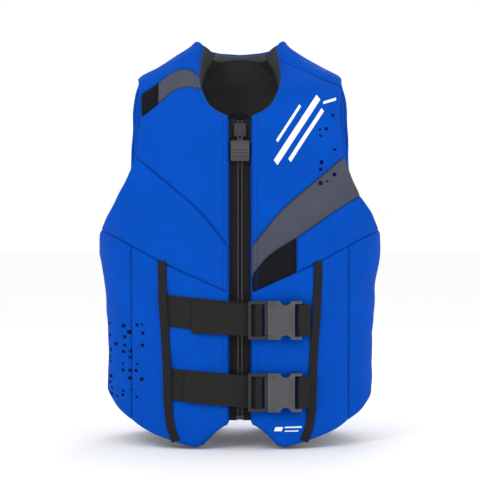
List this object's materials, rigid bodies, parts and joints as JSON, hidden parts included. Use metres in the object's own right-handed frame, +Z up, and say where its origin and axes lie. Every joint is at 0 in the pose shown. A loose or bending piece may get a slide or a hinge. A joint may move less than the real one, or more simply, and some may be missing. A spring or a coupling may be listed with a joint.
{
  "type": "front-zip foam buoyancy vest",
  "caption": "Sleeveless foam buoyancy vest in stretch fabric, closed by a centre-front zip and webbing belts with side-release buckles.",
  "frame": {"origin": "middle of the whole object's box, on the plane of its lowest hem points", "axes": "+Z up towards the collar; the front with the zip faces -Y; +X is the wearer's left"},
  "size_m": [0.3544, 0.2412, 0.5068],
  "materials": {
    "blue_knit": "matt knitted nylon over neoprene",
    "grey_knit": "matt knitted nylon over neoprene",
    "black_knit": "matt knitted nylon over neoprene",
    "lining_knit": "matt mesh knit",
    "foam_pad": "matt closed-cell foam",
    "black_webbing": "woven polyester webbing, slight sheen",
    "binding_tape": "ribbed woven tape",
    "zip_tape": "herringbone tape",
    "zip_plastic": "satin moulded acetal",
    "buckle_plastic": "satin moulded acetal",
    "zip_metal": "satin black enamel",
    "tab_rubber": "matt moulded rubber"
  },
  "bodies": {
    "vest": {"band_left": "binding_tape", "band_right": "binding_tape", "binding_back_left": "binding_tape", "binding_back_right": "binding_tape", "binding_front_left": "binding_tape", "binding_front_right": "binding_tape", "foam_back_lower": "foam_pad", "foam_back_yoke": "foam_pad", "foam_belly_left": "foam_pad", "foam_belly_right": "foam_pad", "foam_chest_left": "foam_pad", "foam_chest_right": "foam_pad", "lining_back": "lining_knit", "lining_front_left": "lining_knit", "lining_front_right": "lining_knit", "lower_belt_long": "black_webbing", "lower_belt_short": "black_webbing", "lower_buckle_socket": "buckle_plastic", "shell_back_centre": "blue_knit", "shell_back_flank": "blue_knit", "shell_back_yoke": "blue_knit", "shell_belly_left": "blue_knit", "shell_belly_right": "blue_knit", "shell_chest_left": "blue_knit", "shell_chest_right": "blue_knit", "shell_rib_left": "blue_knit", "shell_rib_right": "blue_knit", "shell_side_left": "blue_knit", "shell_side_right": "blue_knit", "stripe_back_black": "black_knit", "stripe_back_grey": "grey_knit", "stripe_chest_black": "black_knit", "stripe_chest_grey": "grey_knit", "stripe_shoulder_black": "black_knit", "stripe_shoulder_grey": "grey_knit", "upper_belt_long": "black_webbing", "upper_belt_short": "black_webbing", "upper_buckle_socket": "buckle_plastic", "zip_box": "zip_plastic", "zip_tape_left": "zip_tape", "zip_tape_right": "zip_tape", "zip_teeth_left": "zip_plastic", "zip_teeth_right": "zip_plastic", "zip_top_stops": "zip_plastic"},
    "slider": {"zip_slider": "zip_metal"},
    "pull": {"zip_pull_link": "zip_metal", "zip_pull_tab": "tab_rubber"},
    "upper_plug": {"upper_buckle_plug": "buckle_plastic", "upper_belt_tail": "black_webbing"},
    "upper_latch_top": {"upper_prong_top": "buckle_plastic"},
    "upper_latch_bottom": {"upper_prong_bottom": "buckle_plastic"},
    "lower_plug": {"lower_buckle_plug": "buckle_plastic", "lower_belt_tail": "black_webbing"},
    "lower_latch_top": {"lower_prong_top": "buckle_plastic"},
    "lower_latch_bottom": {"lower_prong_bottom": "buckle_plastic"}
  },
  "joints": [
    {"name": "zip_slide", "type": "slide", "parent": "vest", "child": "slider", "axis": [0, 0, -1], "range_m": [0, 0.336]},
    {"name": "pull_flip", "type": "hinge", "parent": "slider", "child": "pull", "pos_m": [0, -0.10085, 0.3792], "axis": [-1, 0, 0], "range_deg": [0, 90]},
    {"name": "upper_plug_slide", "type": "slide", "parent": "vest", "child": "upper_plug", "axis": [-0.9969, -0.0785, 0], "range_m": [0, 0.03]},
    {"name": "upper_latch_top_squeeze", "type": "hinge", "parent": "upper_plug", "child": "upper_latch_top", "pos_m": [0.03867, -0.11515, 0.1702], "axis": [-0.0785, 0.9969, 0], "range_deg": [0, 6], "stiffness_Nm_per_rad": 0.4},
    {"name": "upper_latch_bottom_squeeze", "type": "hinge", "parent": "upper_plug", "child": "upper_latch_bottom", "pos_m": [0.03867, -0.11515, 0.1418], "axis": [0.0785, -0.9969, 0], "range_deg": [0, 6], "stiffness_Nm_per_rad": 0.4},
    {"name": "lower_plug_slide", "type": "slide", "parent": "vest", "child": "lower_plug", "axis": [-0.9969, -0.0785, 0], "range_m": [0, 0.03]},
    {"name": "lower_latch_top_squeeze", "type": "hinge", "parent": "lower_plug", "child": "lower_latch_top", "pos_m": [0.03867, -0.11338, 0.0837], "axis": [-0.0785, 0.9969, 0], "range_deg": [0, 6], "stiffness_Nm_per_rad": 0.4},
    {"name": "lower_latch_bottom_squeeze", "type": "hinge", "parent": "lower_plug", "child": "lower_latch_bottom", "pos_m": [0.03867, -0.11338, 0.0553], "axis": [0.0785, -0.9969, 0], "range_deg": [0, 6], "stiffness_Nm_per_rad": 0.4}
  ]
}
